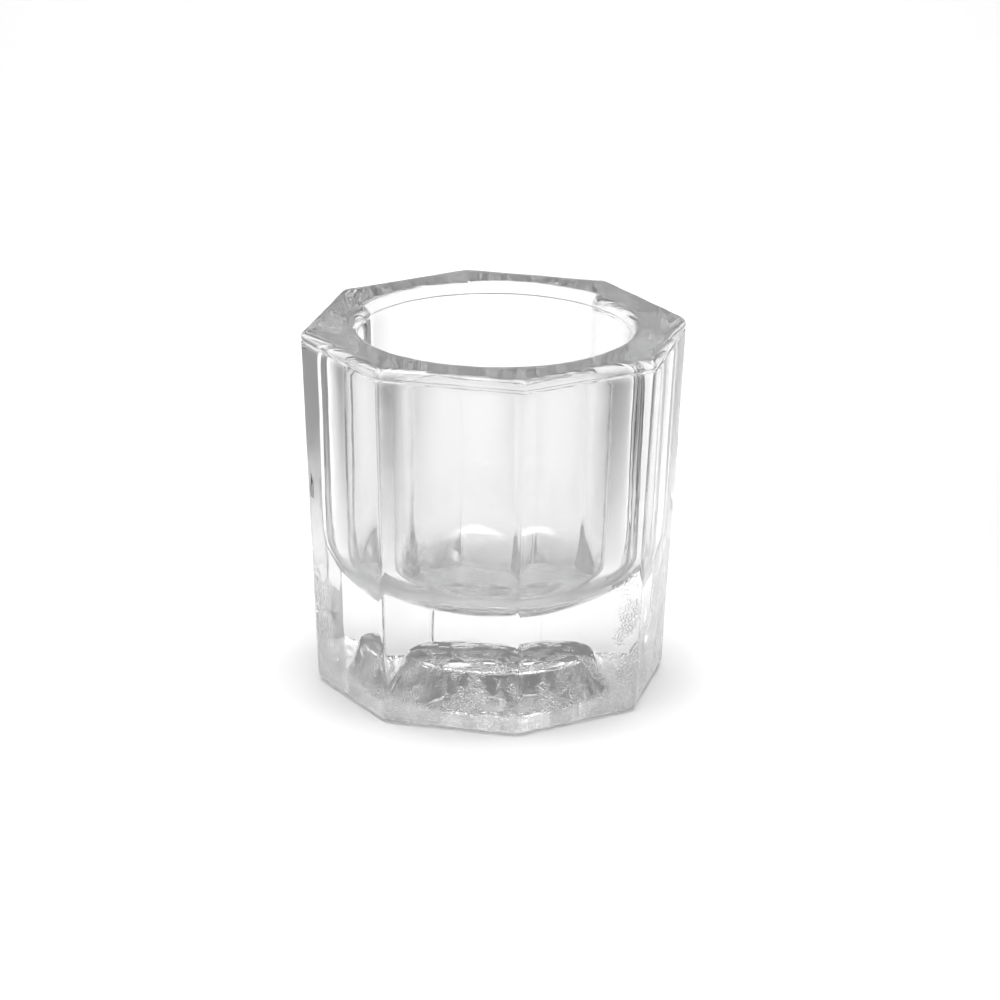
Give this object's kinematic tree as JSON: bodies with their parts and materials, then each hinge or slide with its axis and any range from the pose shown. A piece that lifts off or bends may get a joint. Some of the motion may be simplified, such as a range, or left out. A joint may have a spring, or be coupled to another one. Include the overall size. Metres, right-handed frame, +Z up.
{
  "type": "dappen dish",
  "caption": "Octagonal pressed-glass dish with a deep round well above and a shallow well in the underside, for holding small amounts of salon liquid.",
  "frame": {"origin": "middle of the plane of the foot ring that the dish stands on, under the well's axis", "axes": "+Z up out of the deep well; +X and +Y each square to one of the flat sides"},
  "size_m": [0.0372, 0.0372, 0.0383],
  "materials": {
    "clear_glass": "clear pressed glass, glossy, with a faintly wavy skin and a stippled foot ring"
  },
  "bodies": {
    "root": {"glass_dish": "clear_glass"}
  },
  "joints": []
}
